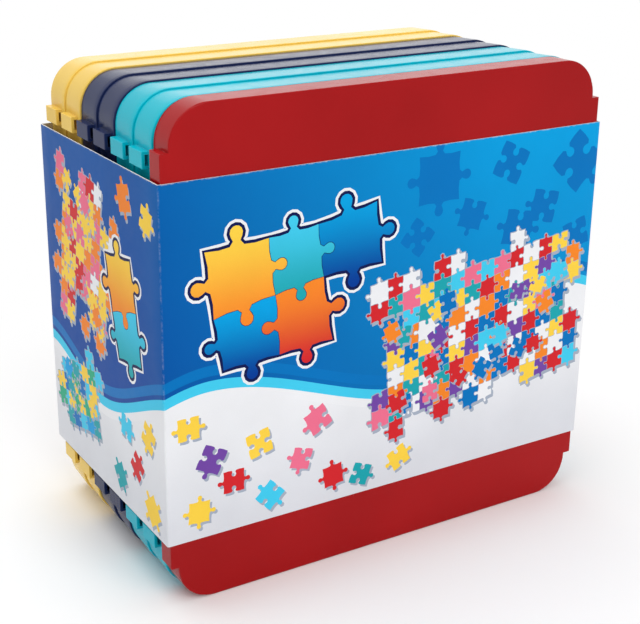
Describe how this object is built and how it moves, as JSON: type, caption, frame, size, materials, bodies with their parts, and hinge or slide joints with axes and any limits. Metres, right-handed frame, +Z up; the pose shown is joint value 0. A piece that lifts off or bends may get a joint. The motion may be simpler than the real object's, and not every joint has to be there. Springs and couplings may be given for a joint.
{
  "type": "sleeved stack of jigsaw puzzle sorting trays",
  "caption": "Nested square plastic sorting trays standing on edge under a flanged lid, held together by a slide-off printed card sleeve",
  "frame": {"origin": "middle of the bounding box's bottom, on the surface that the stack stands on", "axes": "X across the stack from left to right, Y from the lid's face to the rear tray's foot, Z up; the lid's face looks along -Y"},
  "size_m": [0.216, 0.12, 0.2078],
  "materials": {
    "teal_plastic": "smooth injection-moulded gloss",
    "navy_plastic": "smooth injection-moulded gloss",
    "yellow_plastic": "smooth injection-moulded gloss",
    "red_plastic": "smooth injection-moulded gloss",
    "printed_card": "glossy printed outside, uncoated inside, white cut edges"
  },
  "bodies": {
    "stack": {"tray_teal_front": "teal_plastic", "tray_teal_rear": "teal_plastic", "tray_navy_front": "navy_plastic", "tray_navy_rear": "navy_plastic", "tray_yellow_front": "yellow_plastic", "tray_yellow_rear": "yellow_plastic", "lid": "red_plastic"},
    "sleeve": {"sleeve": "printed_card"}
  },
  "joints": [
    {"name": "sleeve_slide", "type": "slide", "parent": "stack", "child": "sleeve", "axis": [0, 0, 1], "range_m": [-0.0285, 0.184]}
  ]
}
